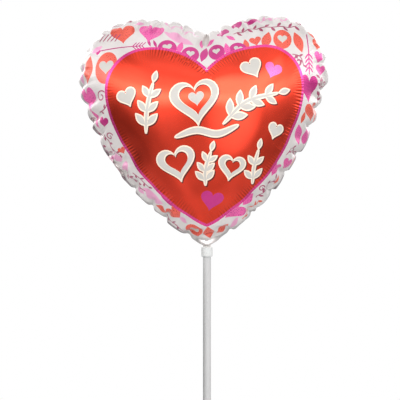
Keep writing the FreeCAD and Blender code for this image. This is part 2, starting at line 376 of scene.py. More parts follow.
def scallops(total):
    """The seam's gathers: where its cusps are, and the length of each scallop between them."""
    draws = np.random.default_rng(11)
    gaps = []
    for count, up in ((SCALLOPS_RIGHT, True), (SCALLOPS_LEFT, False)):
        share = (np.arange(count) + 0.5) / count
        growth = 1 + SCALLOP_GROWTH * np.cos(math.pi * (share if up else 1 - share))
        side = growth * (1 + SCALLOP_SPREAD * draws.uniform(-1, 1, count))
        gaps.append(side * total / 2 / side.sum())
    gaps = np.concatenate(gaps)
    return np.concatenate([[0], np.cumsum(gaps)]), gaps


def calm_tip(along, total):
    """0 at the seam's tip, where the film lies flat in the cup, and 1 a little further on."""
    return np.clip((np.minimum(along, total - along) - CALM_TIP) / CALM_TIP, 0, 1)


def rim_targets(seam, draws):
    """Where the seam's points go as the balloon fills, and how near each is to a cusp."""
    along, total = lengths(seam)
    full = heart_outline(0.5, **FULL_SEAM)
    full_along, full_total = lengths(full)
    cusps, gaps = scallops(total)
    which = np.clip(np.searchsorted(cusps, along, "right") - 1, 0, len(gaps) - 1)
    local = 2 * (along - cusps[which]) / gaps[which] - 1
    bend = math.sqrt(6 * (1 - full_total / total))
    radius = gaps[which] / (2 * bend)
    chord = 0.5 + 0.5 * np.sin(bend * local) / math.sin(bend)
    calm = calm_tip(along, total)
    bulge = calm * radius * (np.cos(bend * local) - math.cos(bend))
    stops = [0, CALM_TIP, total - CALM_TIP, total]
    full_stops = [0, CALM_TIP, full_total - CALM_TIP, full_total]
    place = np.interp(calm * (cusps[which] + gaps[which] * chord) + (1 - calm) * along, stops, full_stops)
    loop = np.vstack([full, full[:1]])
    at = np.concatenate([full_along, [full_total]])

    def on_full(length):
        return np.stack([np.interp(length, at, loop[:, n]) for n in (0, 1)], 1)

    slope = on_full(place + 0.5) - on_full(place - 0.5)
    slope /= np.linalg.norm(slope, axis=1)[:, None] + 1e-9
    outward = np.stack([slope[:, 1], -slope[:, 0]], 1)
    lean = draws.normal(0, SEAM_LEAN, len(gaps))[which] * np.cos(math.pi / 2 * local) * calm
    tuck = SEAM_TUCK * calm * (1 - np.cos(math.pi / 2 * local)) ** 2
    cusp = np.exp(-((1 - np.abs(local)) * gaps[which] / 2 / CUSP_WIDTH) ** 2) * calm
    target = on_full(place) + bulge[:, None] * outward
    return np.stack([target[:, 0], lean + tuck, target[:, 1]]), cusp


def inflate(mesh):
    """The places of the mesh's points when the balloon is full, by damped relaxation."""
    draws = np.random.default_rng(7)
    flat, ring, count = mesh["flat"], mesh["ring"], mesh["count"]
    total = len(flat)
    triangles = np.vstack([mesh["front"], mesh["rear"], mesh["flange"]])
    edges, shared, wings = hinges_of(triangles)
    hinges = np.hstack([edges[shared], wings])
    weights, bend = bending_weights(flat, hinges)
    one, two = edges[:, 0].copy(), edges[:, 1].copy()
    rest = np.linalg.norm(flat[one] - flat[two], axis=1)
    target, cusp = rim_targets(mesh["seam"], draws)
    weak = np.zeros(total)
    for row in mesh["rows"]:
        weak[row] = cusp
    in_flange = two >= 2 * count - ring
    stiff = np.where(in_flange, 1 - CUSP_SLACK * np.maximum(weak[one], weak[two]), 1) * MESH / rest
    corners = [np.concatenate([mesh["front"][:, n], mesh["rear"][:, n]]) for n in range(3)]
    hinge = [hinges[:, n].copy() for n in range(4)]
    place = [flat[:, 0].copy(), draws.normal(0, START_NOISE, total), flat[:, 1].copy()]
    place[1][ring:count] -= START_GAP
    place[1][count:2 * count - ring] += START_GAP
    start = [axis[:ring].copy() for axis in place]
    speed = [np.zeros(total) for _ in range(3)]
    push = [None] * 3
    for step in range(STEPS):
        share = step / STEPS
        settle = min(1, max(0, (share - SETTLE_START) / SETTLE_SHARE))
        pressure = FIRST_PRESSURE + (LAST_PRESSURE - FIRST_PRESSURE) * settle
        damping = FIRST_DAMPING if share < SETTLE_START else LAST_DAMPING
        filled = min(1, share / GUIDE_SHARE)
        apart = [axis[two] - axis[one] for axis in place]
        length = np.sqrt(apart[0] ** 2 + apart[1] ** 2 + apart[2] ** 2)
        pull = (length - rest) * stiff / length
        if step % PRESSURE_EVERY == 0:
            a, b, c = ([axis[corner] for axis in place] for corner in corners)
            u, v = [q - p for p, q in zip(a, b)], [q - p for p, q in zip(a, c)]
            for n in range(3):
                m, k = (n + 1) % 3, (n + 2) % 3
                face = (u[m] * v[k] - u[k] * v[m]) / 6
                push[n] = sum(np.bincount(corner, face, total) for corner in corners)
        for n in range(3):
            spring = apart[n] * pull
            force = np.bincount(one, spring, total) - np.bincount(two, spring, total) + push[n] * pressure
            fold = bend * sum(weights[m] * place[n][hinge[m]] for m in range(4))
            for m in range(4):
                force -= np.bincount(hinge[m], fold * weights[m], total)
            goal = start[n] + (target[n] - start[n]) * filled
            force[:ring] += GUIDE * (goal - place[n][:ring])
            speed[n] = (speed[n] + TIME_STEP * force) * damping
        for n in range(3):
            place[n] = place[n] + TIME_STEP * speed[n]
    return np.stack(place, 1)


def renumbered(triangles):
    """The points that the triangles use, and the triangles with only those numbered."""
    used, places = np.unique(triangles, return_inverse=True)
    return used, places.reshape(triangles.shape)


def refine(points, triangles, smooth):
    """Every triangle becomes four: on Loop's smooth surface, or at the edges' middles."""
    edges, uses, place, across = edge_table(triangles)
    ends = points[edges[:, 0]] + points[edges[:, 1]]
    middle, moved = 0.5 * ends, points
    if smooth:
        wings = np.zeros_like(ends)
        np.add.at(wings, place, points[across])
        inner = uses == 2
        middle = np.where(inner[:, None], 0.375 * ends + 0.125 * wings, middle)
        ring, size = np.zeros_like(points), np.zeros(len(points))
        rim, rim_size = np.zeros_like(points), np.zeros(len(points))
        for p, q in ((0, 1), (1, 0)):
            np.add.at(ring, edges[:, p], points[edges[:, q]])
            np.add.at(size, edges[:, p], 1)
            np.add.at(rim, edges[~inner, p], points[edges[~inner, q]])
            np.add.at(rim_size, edges[~inner, p], 1)
        beta = np.where(size == 3, 3 / 16, 3 / (8 * np.maximum(size, 1)))
        moved = (1 - size * beta)[:, None] * points + beta[:, None] * ring
        moved = np.where((rim_size == 2)[:, None], 0.75 * points + 0.125 * rim, moved)
    halves = len(points) + place.reshape(-1, 3)
    a, b, c = triangles.T
    ab, bc, ca = halves.T
    small = np.vstack([np.stack(s, 1) for s in ((a, ab, ca), (ab, b, bc), (ca, bc, c), (ab, bc, ca))])
    return np.vstack([moved, middle]), small


# ---------- the print

def turned(points, x, z, tilt):
    """The points turned anticlockwise by tilt degrees, then moved to x, z."""
    c, s = math.cos(math.radians(tilt)), math.sin(math.radians(tilt))
    return points @ np.array([[c, s], [-s, c]]) + (x, z)


def polar(length, tilt):
    """The step of a length in the direction of tilt degrees."""
    return length * np.array([math.cos(math.radians(tilt)), math.sin(math.radians(tilt))])


def heart(x, z, size, tilt=0, slim=1.0):
    """A heart, size wide, from its notch round; a small slim makes it tall."""
    t = 2 * math.pi * (np.arange(44) / 44)
    across = 16 * np.sin(t) ** 3
    up = 13 * np.cos(t) - 5 * np.cos(2 * t) - 2 * np.cos(3 * t) - np.cos(4 * t)
    return turned(np.stack([across, up / slim], 1) * size / 32, x, z, tilt)


def blade(x, z, length, width, tilt):
    """A leaf or petal, pointed at both ends, that lies along tilt."""
    t = np.linspace(0, 1, 15)[:-1]
    edge = np.stack([length * (t - 0.5), width / 2 * np.sin(math.pi * t)], 1)
    return turned(np.vstack([edge, -edge]), x, z, tilt)


def disc(x, z, width, height, tilt=0):
    """An ellipse."""
    t = 2 * math.pi * np.arange(28) / 28
    return turned(np.stack([width / 2 * np.cos(t), height / 2 * np.sin(t)], 1), x, z, tilt)


def smooth_line(points, count):
    """count points on a smooth curve through the given ones."""
    knots = np.array(points, float)
    knots = np.vstack([2 * knots[0] - knots[1], knots, 2 * knots[-1] - knots[-2]])
    out = []
    for s in np.linspace(0, len(points) - 1 - 1e-9, count):
        i, u = int(s), s - int(s)
        p = knots[i:i + 4]
        out.append(0.5 * (2 * p[1] + (p[2] - p[0]) * u + (2 * p[0] - 5 * p[1] + 4 * p[2] - p[3]) * u * u
                          + (3 * p[1] - p[0] - 3 * p[2] + p[3]) * u ** 3))
    return np.array(out)


def brushed(line, width, taper):
    """The outline of a brush stroke along a line; taper is the share that thins at each end."""
    along = np.gradient(line, axis=0)
    along /= np.linalg.norm(along, axis=1)[:, None]
    t = np.linspace(0, 1, len(line))
    fat = np.clip(np.minimum(t, 1 - t) / max(taper, 1e-3), 0, 1)
    half = width / 2 * np.sqrt(fat * (2 - fat)) + 0.02
    side = np.stack([-along[:, 1], along[:, 0]], 1) * half[:, None]
    return np.vstack([line + side, (line - side)[::-1]])


def stroke(points, width, taper=0.12):
    """A brush stroke through the points."""
    span = np.linalg.norm(np.diff(np.array(points, float), axis=0), axis=1).sum()
    return brushed(smooth_line(points, max(8, int(span / 1.3))), width, taper)


def curl(x, z, size, width, tilt=0, turns=1.2):
    """A tendril: a line that winds into a spiral."""
    t = np.linspace(0, 1, 26)
    angle = 2 * math.pi * turns * t
    radius = size / 2 * (1 - 0.8 * t)
    line = np.stack([radius * np.cos(angle), radius * np.sin(angle)], 1)
    return brushed(turned(line, x, z, tilt), width, 0.05)


def sprig(points, leaf, pairs, stem=2.4):
    """A stem through the points, from its foot, with pairs of leaves and one at its tip."""
    line = smooth_line(points, 40)
    parts = [brushed(line, stem, 0.4)]
    for i in range(pairs + 1):
        at = round(6 + 33 * i / pairs)
        ahead = line[min(at, 39)] - line[at - 2]
        ahead /= np.linalg.norm(ahead)
        tilt = math.degrees(math.atan2(ahead[1], ahead[0]))
        size = leaf * (1 - 0.25 * i / pairs)
        turns = (0,) if i == pairs else (42, -42)
        for turn in turns:
            x, z = line[min(at, 39)] + polar(0.54 * size, tilt + turn)
            parts.append(blade(x, z, size, 0.42 * size, tilt + turn))
    return parts


def arrow(x, z, length, tilt):
    """A thin arrow with a small heart for its head and slanted feathers."""
    parts = [stroke([(-length / 2, 0), (length / 2, 0)], 0.8, 0.02)]
    parts.append(heart(-length / 2 - 1, 0, 5, 90))
    for i in range(4):
        at = length / 2 - 1 - 2.4 * i
        for side in (1, -1):
            parts.append(stroke([(at, 0), (at + 3.4, side * 3.6)], 0.7, 0.1))
    return [turned(part, x, z, tilt) for part in parts]


def vine(points, leaf=5.0, leaves=6, stem=0.8):
    """A thin line through the points with small leaves on alternate sides."""
    line = smooth_line(points, 6 * leaves + 1)
    parts = [brushed(line, stem, 0.05)]
    for i in range(leaves):
        at = 6 * i + 4
        ahead = line[at + 1] - line[at]
        tilt = math.degrees(math.atan2(ahead[1], ahead[0])) + (48 if i % 2 else -48)
        x, z = line[at] + polar(0.5 * leaf, tilt)
        parts.append(blade(x, z, leaf, 0.42 * leaf, tilt))
    return parts


def border_print():
    """The small motifs on the pearl border, as (ink, outline) from the back to the top."""
    out = []

    def add(ink, *shapes):
        out.extend((ink, shape) for shape in shapes)

    # The left lobe, from the notch to the widest point.
    add("blush", blade(-25, 171, 28, 9, -24), *vine([(-8, 177), (-22, 183), (-38, 186)], 4.5, 5))
    add("plum", disc(-33, 160, 15, 16, 20), disc(-14, 155, 15, 16, -10), blade(-2, 156, 17, 7, 72))
    add("plum", *[blade(-48 + 5 * i, 165 - 1.2 * i, 9, 2.2, 115) for i in range(2)])
    add("white", heart(-33, 161, 7.5, 12), heart(-14, 156, 7))
    add("pink", heart(-48, 176, 21, -4), blade(-23, 161, 14, 5, 80), blade(-5, 168, 10, 4, 100))
    add("coral", heart(-70, 172, 19, 14))
    add("plum", *arrow(-69, 159, 34, 8))
    add("berry", *[stroke([(-87 + 3 * i, 164), (-83 + 3 * i, 171)], 0.8, 0.1) for i in range(5)])
    add("coral", blade(-95, 143, 22, 9, 80), disc(-79, 143, 18, 25, -8), blade(-63, 149, 17, 8, 55))
    add("white", heart(-79, 144, 12))
    add("blush", blade(-104, 141, 17, 6, 84), blade(-88, 158, 10, 4, 30), blade(-60, 184, 9, 3.5, 20))
    add("berry", *vine([(-88, 172), (-79, 180), (-66, 186)], 4, 4, 0.6))
    add("pink", heart(-99, 121, 16, 4, 0.7))
    add("berry", curl(-84, 121, 10, 1.0, 30), *vine([(-88, 108), (-80, 112), (-76, 122)], 4, 4))
    # The left side, down to the tip.
    add("pink", blade(-94, 103, 18, 5, -70))
    add("plum", heart(-83, 101, 10, -10))
    add("berry", curl(-101, 101, 7, 0.9, 10, 1.6), *vine([(-97, 94), (-92, 82), (-84, 74)], 5, 6))
    add("berry", curl(-79, 89, 7, 0.9, 10), *vine([(-86, 92), (-78, 80), (-71, 73)], 4, 5, 0.7))
    add("blush", disc(-76, 71, 7, 10, 30), disc(-68, 63, 7, 10, -20), blade(-84, 68, 10, 4, 20))
    add("coral", heart(-69, 78, 7, 20))
    add("berry", *vine([(-70, 58), (-60, 52), (-52, 42)], 5, 6))
    add("berry", *vine([(-60, 60), (-53, 54), (-47, 46)], 4, 4, 0.7))
    add("blush", blade(-45, 39, 22, 9, -40), blade(-56, 43, 9, 4, -60))
    add("plum", blade(-31, 40, 22, 9, -48))
    add("coral", heart(-26, 28, 15, 40), blade(-38, 28, 12, 5, -35))
    add("coral", disc(-10, 12, 15, 12, -35), blade(2, 10, 15, 9, 100), blade(13, 12, 14, 7, 50))
    add("white", disc(-10, 12, 8, 5, -35))
    add("berry", *vine([(-36, 20), (-27, 16), (-18, 8)], 3.6, 4, 0.7))
    add("blush", blade(23, 16, 12, 5, 50), blade(-19, 21, 8, 4, -40))
    # The right side, from the tip up.
    add("pink", heart(23, 29, 20, -55), blade(34, 37, 13, 7, 40))
    add("coral", *vine([(30, 18), (37, 26), (46, 33)], 4.5, 5))
    add("berry", *vine([(42, 36), (52, 44), (60, 52)], 5, 6), curl(46, 45, 6, 0.9))
    add("pink", heart(57, 61, 13, -30), heart(70, 63, 12, -20))
    add("coral", blade(79, 60, 11, 5, 70), blade(62, 49, 9, 4, 60))
    add("berry", *vine([(66, 71), (73, 76), (79, 71), (84, 66)], 4, 5, 0.7))
    add("pink", blade(78, 87, 18, 8, 100), disc(88, 85, 9, 14, -15), blade(96, 84, 13, 5, 80))
    add("coral", heart(89, 106, 15, 8, 0.9), blade(98, 102, 13, 5, 80), blade(80, 101, 10, 4, 70))
    add("plum", heart(85, 125, 18, -2, 0.74))
    add("berry", *vine([(98, 112), (99, 124), (96, 134)], 5, 6), curl(103, 129, 8, 0.9, 120))
    # The right lobe, back to the notch.
    add("berry", curl(75, 144, 9, 1.2, 80), *vine([(70, 150), (77, 148), (80, 140)], 4, 4, 0.7))
    for i in range(4):
        add("plum", stroke([(81, 136 + 3.4 * i), (85, 140 + 3.4 * i), (89, 136 + 3.4 * i)], 1.1, 0.05))
    add("plum", stroke([(85, 134), (85, 167)], 0.9, 0.05))
    add("coral", heart(94, 159, 10, -14), blade(90, 168, 12, 5, 125))
    add("pink", heart(95, 149, 10, -10), heart(97, 139, 10, -4))
    add("coral", blade(51, 164, 16, 8, 66), disc(64, 163, 15, 17, -12), blade(77, 160, 18, 8, 104),
        heart(42, 165, 10, 6), blade(34, 162, 12, 5, 95))
    add("white", heart(64, 163.5, 8, -8))
    add("berry", *vine([(24, 174), (42, 178), (60, 175), (78, 174)], 5.5, 11), curl(82, 178, 7, 0.9, 20))
    add("blush", *vine([(44, 185), (58, 186), (72, 182)], 5, 6, 1.0))
    add("plum", heart(16, 178, 11, -8), heart(29, 185, 10, 10), blade(42, 187, 14, 5, 4))
    add("plum", disc(27, 157, 15, 15, -15), disc(9, 157, 14, 16))
    add("white", heart(27, 158, 7.5, -12), heart(9, 158, 6.5))
    add("pink", blade(18, 158, 14, 5, 95), blade(5, 169, 10, 4, 40), blade(22, 170, 9, 4, 140))
    return out


def centre_print():
    """The white brush-drawn motifs on the red heart, each with a cream edge and a shadow."""
    shapes = [heart(-61, 120, 15, 22), heart(36, 141, 17, 24), heart(54, 92, 13, -20)]
    shapes += sprig([(-46, 92), (-45, 110), (-41, 130)], 12, 3, 2.6)
    shapes += sprig([(12, 98), (30, 114), (56, 120)], 13, 4, 2.8)
    shapes.append(stroke([(-24, 89), (-8, 94), (8, 91), (24, 97)], 4.6, 0.4))
    shapes += sprig([(-1, 52), (-1, 64), (3, 78)], 10, 3, 2.4)
    shapes += sprig([(37, 50), (37, 64), (40, 78)], 10.5, 2, 2.4)
    open_hearts = [(-9, 117, 37, 26, 8), (-23, 70, 29, 19, 14), (19, 66, 21, 13, -12)]
    shapes += [heart(x, z, size, tilt) for x, z, size, _, tilt in open_hearts]
    shapes = [anticlockwise(shape) for shape in shapes]
    out = [("umber", offset(shape, 0.7) + (0.8, -0.9)) for shape in shapes]
    out += [("cream", offset(shape, 0.6)) for shape in shapes]
    out += [("white", offset(shape, -0.4)) for shape in shapes]
    for x, z, size, hollow, tilt in open_hearts:
        lift = 0.04 * size
        out.append(("cream", heart(x + 0.4, z + lift, hollow, tilt)))
        out.append(("umber", heart(x + 0.4, z + lift - 0.2, hollow - 1.8, tilt)))
        out.append(("red", heart(x + 0.9, z + lift - 0.9, hollow - 2.2, tilt)))
    out.append(("white", heart(-8, 118, 12, 8)))
    out += [("pink", heart(53, 138, 14, -24)), ("plum", heart(4, 40, 18, -14))]
    return out


def shaded_bare_edges():
    """Crescents of bare metal at the flange's edge, darkened as painted shade and dark reflection, one to a
    scallop within the listed ranges.
    """
    draws = np.random.default_rng(41)
    seam = heart_outline(0.8, **SEAM)
    along, total = lengths(seam)
    cusps, gaps = scallops(total)
    outward = offset(seam, 1.0) - seam
    out = []
    for start, gap in zip(cusps, gaps):
        width = draws.uniform(2.0, 4.4)
        middle = (start + gap / 2) / total
        if not any(low < middle < high for low, high in SHADED_BARE_RANGES):
            continue
        held = (along > start) & (along < start + gap)
        reach = FLANGE - width * np.sin(math.pi * (along[held] - start) / gap)
        inner = seam[held] + reach[:, None] * outward[held]
        outer = seam[held] + (FLANGE + 0.5) * outward[held]
        # Each crescent is painted shade on the bare metal of the flange's edge.
        out.append(("shaded_bare", np.vstack([outer, inner[::-1]])))
    return out


def red_outline(step):
    """The red heart's edge."""
    return heart_outline(step, **RED_HEART) + (0, RED_LIFT)


def print_layers():
    """Every printed shape as (ink, outline), from the back to the top."""
    red = red_outline(0.6)
    return border_print() + shaded_bare_edges() + [("rim_pink", offset(red, 2.4)), ("red", red)] + centre_print()


def crimp_rows():
    """Points in rows that follow the red heart's edge, close enough together for the crimps."""
    edge = red_outline(CRIMP_PITCH / (5))
    rows = []
    for reach in np.arange(-CRIMP_INSIDE, CRIMP_OUTSIDE + 1, 1.5):
        rows.append(clear_of(offset(edge, reach), edge, abs(reach) - 0.1))
    return np.vstack(rows)


def printed_mesh(layers, border, seam):
    """The flat film cut along every printed edge: points, triangles and each one's ink."""
    outlines = [border, seam] + [outline for _, outline in layers]
    edges, points, start = [], [], 0
    for outline in outlines:
        edges += loop_edges(start, len(outline))
        points.append(outline)
        start += len(outline)
    lines = np.vstack(points)
    rows = clear_of(crimp_rows(), lines, 0.3)
    filling = clear_of(grid(border, PRINT_MESH), np.vstack([lines, rows]), 0.55 * PRINT_MESH)
    vectors = [Vector(point) for point in np.vstack([lines, rows, filling])]
    result = delaunay_2d_cdt(vectors, edges, [], 1, 1e-4)
    flat = np.array([tuple(point) for point in result[0]])
    triangles = facing(flat, np.array(result[2]))
    middles = flat[triangles].mean(1)
    kept = inside(middles, border)
    triangles, middles = triangles[kept], middles[kept]
    ink = np.zeros(len(triangles), int)
    for name, outline in layers:
        ink[inside(middles, outline)] = INKS.index(name)
    used, triangles = renumbered(triangles)
    return flat[used], triangles, ink


# ---------- films in 3-D

def surface_of(mesh, places, side):
    """One film's smooth surface: flat points, places and triangles, refined twice."""
    triangles = np.vstack([mesh[side], mesh["flange"] if side == "front" else mesh["flange"][:, ::-1]])
    used, triangles = renumbered(triangles)
    flat, places = mesh["flat"][used], places[used]
    for _ in range(2):
        flat = refine(flat, triangles, False)[0]
        places, triangles = refine(places, triangles, True)
    return flat, places, triangles


def lifted(points, surface):
    """The places in space of points on the flat film."""
    flat, places, triangles = surface
    tree = BVHTree.FromPolygons([(x, z, 0) for x, z in flat], triangles.tolist())
    found = np.array([tree.find_nearest((x, z, 0))[2] for x, z in points])
    a, b, c = (triangles[found, n] for n in range(3))
    u, v, w = flat[b] - flat[a], flat[c] - flat[a], points - flat[a]
    s = cross(w, v) / cross(u, v)
    t = cross(u, w) / cross(u, v)
    return (1 - s - t)[:, None] * places[a] + s[:, None] * places[b] + t[:, None] * places[c]


def fitted(places):
    """Solver places as metres in the CAD's frame, at the CAD balloon's size."""
    low = Vector(map(min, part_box("front_foil_panel")[0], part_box("rear_foil_panel")[0]))
    high = Vector(map(max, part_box("front_foil_panel")[1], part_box("rear_foil_panel")[1]))
    small, large = places.min(0), places.max(0)
    scale = np.array(high - low) / (large - small)
    moved = (places - (small + large) / 2) * scale + np.array((low + high) / 2)
    x = moved[:, 0].copy()
    moved[:, 0] -= LEFT_WIDEN * x * x / high.x
    moved[:, 2] += RIGHT_LIFT * x
    return moved


def calmed(mesh, places):
    """The solver's places, with the seam's folds smoothed away before the middle."""
    edges = edge_table(np.vstack([mesh["front"], mesh["rear"], mesh["flange"]]))[0]
    inset = place_along(mesh["flat"], mesh["seam"])[1]
    ease = 0.5 * np.clip((inset - FOLDS_FADE) / (FOLDS_END - FOLDS_FADE), 0, 1)
    one, two = edges.T
    total = len(places)
    uses = np.bincount(one, minlength=total) + np.bincount(two, minlength=total)
    calm = places.copy()
    for _ in range(CALM_ROUNDS):
        for n in range(3):
            axis = calm[:, n]
            around = np.bincount(one, axis[two], total) + np.bincount(two, axis[one], total)
            calm[:, n] = axis + ease * (around / uses - axis)
    return calm


def linked(name, data):
    """A new object in the scene."""
    item = bpy.data.objects.new(name, data)
    bpy.context.scene.collection.objects.link(item)
    return item


def new_object(name, points, faces, finish):
    """A smooth-shaded mesh object of one material."""
    mesh = bpy.data.meshes.new(name)
    mesh.from_pydata(points.tolist(), [], faces.tolist())
    mesh.materials.append(finish)
    mesh.polygons.foreach_set("use_smooth", [True] * len(mesh.polygons))
    return linked(name, mesh)


def store(item, domain, name, values):
    """Keeps a number for each of the item's points or faces, for its material to read."""
    item.data.attributes.new(name, "FLOAT", domain).data.foreach_set("value", values.astype(np.float32))


def applied(item, kind, **settings):
    """The item with a modifier added and applied."""
    modifier = item.modifiers.new(kind.lower(), kind)
    for name, value in settings.items():
        setattr(modifier, name, value)
    graph = bpy.context.evaluated_depsgraph_get()
    mesh = bpy.data.meshes.new_from_object(item.evaluated_get(graph))
    item.modifiers.clear()
    item.data = mesh
    return item


# ---------- materials

def material(name):
    """A new material, its node tree and its Principled shader."""
    made = bpy.data.materials.new(name)
    made.use_nodes = True
    return made, made.node_tree, made.node_tree.nodes["Principled BSDF"]


def feed(tree, made, inputs):
    """Sets or links a node's inputs, which are named, or numbered as i0, i1 and so on."""
    for name, value in inputs.items():
        socket = made.inputs[int(name[1:]) if name[1:].isdigit() else name]
        if isinstance(value, bpy.types.NodeSocket):
            tree.links.new(value, socket)
        else:
            socket.default_value = value


def node(tree, kind, **settings):
    """A new node with its own settings; the other ones are fed to its inputs."""
    made = tree.nodes.new("ShaderNode" + kind)
    own = [name for name in settings if hasattr(made, name)]
    for name in own:
        setattr(made, name, settings.pop(name))
    feed(tree, made, settings)
    return made


def math_node(tree, operation, first, second=0.0, third=0.0):
    return node(tree, "Math", operation=operation, i0=first, i1=second, i2=third).outputs[0]


def linear(code):
    """An sRGB colour code as linear red, green, blue and alpha."""
    parts = [int(code[i:i + 2], 16) / 255 for i in (0, 2, 4)]
    return tuple(p / 12.92 if p <= 0.04045 else ((p + 0.055) / 1.055) ** 2.4 for p in parts) + (1.0,)


def ramp(tree, factor, stops, interpolation="LINEAR"):
    """A colour that follows a factor from 0 to 1, by stops of (place, colour)."""
    made = node(tree, "ValToRGB", Fac=factor)
    made.color_ramp.interpolation = interpolation
    steps = made.color_ramp.elements
    while len(steps) < len(stops):
        steps.new(1.0)
    for i, (place, colour) in enumerate(stops):
        steps[i].position = place
        steps[i].color = colour
    return made.outputs["Color"]


def mapped(tree, value, low, high, to_low, to_high):
    """The value, with low to high stretched to to_low to to_high."""
    return node(tree, "MapRange", Value=value, i1=low, i2=high, i3=to_low, i4=to_high).outputs[0]


def multiplied(tree, colour, shade):
    mix = node(tree, "Mix", data_type="RGBA", blend_type="MULTIPLY", Factor=1.0, A=colour, B=shade)
    return mix.outputs["Result"]


def by_ink(tree, values):
    """The value of the face's ink: a ramp with one flat step for each."""
    ink = node(tree, "Attribute", attribute_name="ink").outputs["Fac"]
    place = math_node(tree, "DIVIDE", math_node(tree, "ADD", ink, 0.5), len(INKS))
    return ramp(tree, place, [(i / len(INKS), value) for i, value in enumerate(values)], "CONSTANT")


def foil_material():
    """Printed metallised film, with hair-fine wrinkles that run in from the seam."""
    made, tree, shader = material("printed_foil")
    from_tip = node(tree, "Attribute", attribute_name="from_tip").outputs["Fac"]
    inset = node(tree, "Attribute", attribute_name="inset").outputs["Fac"]
    colour = by_ink(tree, [linear(code) for code, _, _ in INK_FINISH.values()])
    finish = by_ink(tree, [(metal, rough, 0, 1) for _, metal, rough in INK_FINISH.values()])
    finish = node(tree, "SeparateColor", Color=finish)
    object_place = node(tree, "TexCoord").outputs["Object"]
    # Ink that was laid a little unevenly, and fine scuffs in the gloss.
    clouds = node(tree, "TexNoise", Vector=object_place, Scale=60.0, Detail=4.0).outputs["Fac"]
    varied = multiplied(tree, colour, mapped(tree, clouds, 0.3, 0.7, 0.93, 1.04))
    scuffs = node(tree, "TexNoise", Vector=object_place, Scale=900.0, Detail=3.0).outputs["Fac"]
    smoothest = math_node(tree, "ADD", finish.outputs["Green"], -0.03)
    rough = math_node(tree, "MULTIPLY_ADD", scuffs, 0.06, smoothest)
    # The weld outside the seam has less ink over its metal.
    weld = mapped(tree, inset, -0.4, 0.4, 0.75, 0.0)
    metal = math_node(tree, "MAXIMUM", finish.outputs["Red"], weld)
    # The wrinkles, too small for the mesh: noise stretched away from the seam.
    run = node(tree, "CombineXYZ", X=math_node(tree, "MULTIPLY", from_tip, 0.9),
               Y=math_node(tree, "MULTIPLY", inset, 0.06)).outputs[0]
    teeth = node(tree, "TexNoise", Vector=run, Scale=1.0, Detail=2.0, Roughness=0.6).outputs["Fac"]
    height = math_node(tree, "MULTIPLY", teeth, mapped(tree, inset, 16.0, 30.0, 1.0, 0.0))
    normal = node(tree, "Bump", Strength=1.0, Distance=0.3 * MM, Height=height).outputs["Normal"]
    feed(tree, shader, {"Base Color": varied, "Roughness": rough, "Metallic": metal, "Normal": normal,
                        "Coat Weight": 0.5, "Coat Roughness": 0.08})
    return made


def plastic_material(name, code, rough, streak, clear=0.0):
    """Moulded or extruded white plastic; a small streak draws its marks out along the stick."""
    made, tree, shader = material(name)
    place = node(tree, "TexCoord").outputs["Object"]
    stretched = node(tree, "Mapping", Vector=place, Scale=(1.0, 1.0, streak)).outputs[0]
    marks = node(tree, "TexNoise", Vector=stretched, Scale=700.0, Detail=4.0).outputs["Fac"]
    varied = multiplied(tree, linear(code), mapped(tree, marks, 0.3, 0.7, 0.94, 1.03))
    gloss = mapped(tree, marks, 0.2, 0.8, rough - 0.06, rough + 0.06)
    normal = node(tree, "Bump", Strength=0.25, Distance=0.1 * MM, Height=marks).outputs["Normal"]
    feed(tree, shader, {"Base Color": varied, "Roughness": gloss, "Normal": normal,
                        "Subsurface Weight": clear, "Subsurface Radius": (2 * MM, 2 * MM, 2 * MM)})
    return made


# ---------- pieces

def creases(along, inset, total):
    """How far the film stands off its smooth surface at the creases from the seam's cusps."""
    cusps = scallops(total)[0]
    reach = np.random.default_rng(23).uniform(*CREASE_REACH, len(cusps))
    gap = np.abs(along[:, None] - cusps)
    gap = np.minimum(gap, total - gap)
    nearest = gap.argmin(1)
    near = gap[np.arange(len(along)), nearest]
    fade = np.clip(1 - inset / reach[nearest], 0, 1) * np.clip(inset / 3, 0, 1) * calm_tip(along, total)
    width = CREASE_WIDTH + CREASE_FLARE * np.maximum(inset, 0)
    return -CREASE_DEPTH * np.exp(-(near / width) ** 2) * fade


def crimps(along, inset, total):
    """How far it stands off at the crimps; along and inset are from the red heart's edge."""
    draws = np.random.default_rng(29)
    teeth = round(total / CRIMP_PITCH)
    drift = draws.uniform(-0.5, 0.5, 64)
    turn = along / CRIMP_PITCH + np.interp(along, np.linspace(0, total, len(drift)), drift)
    tooth = np.floor(turn).astype(int) % teeth
    inner = CRIMP_INSIDE * draws.uniform(0.5, 1, teeth)[tooth]
    outer = CRIMP_OUTSIDE * draws.uniform(0.5, 1, teeth)[tooth]
    tall = CRIMP_HEIGHT * draws.uniform(0.5, 1, teeth)[tooth]
    band = np.clip((inset + outer) / 2, 0, 1) * np.clip((inner - inset) / 5, 0, 1)
    strong = np.interp(along / total, *zip(*CRIMP_STRENGTH))
    return tall * strong * band * (np.abs(np.sin(math.pi * turn)) - 0.6)


def flange_curl(along, inset, total):
    """How far the flange's outer part curls to the rear in each scallop."""
    cusps, gaps = scallops(total)
    which = np.clip(np.searchsorted(cusps, along, "right") - 1, 0, len(gaps) - 1)
    share = np.clip((along - cusps[which]) / gaps[which], 0, 1)
    strong = np.random.default_rng(31).uniform(*CURL_STRENGTH, len(gaps))[which]
    return calm_tip(along, total) * strong * np.sin(math.pi * share) * np.maximum(0, -inset - CURL_START)


def neck_channel(flat):
    """How far it stands off at the tip, over the valve."""
    x, z = flat.T
    return NECK_BULGE * np.exp(-(x / NECK_HALF_WIDTH) ** 4) * np.clip((NECK_END - z) / NECK_FADE, 0, 1)


def outward_normals(points, faces):
    """Each point's normal, the mean of its faces' by their areas."""
    a, b, c = (points[faces[:, n]] for n in range(3))
    normals = np.zeros_like(points)
    for n in range(3):
        np.add.at(normals, faces[:, n], np.cross(b - a, c - a))
    return normals / (np.linalg.norm(normals, axis=1)[:, None] + 1e-20)


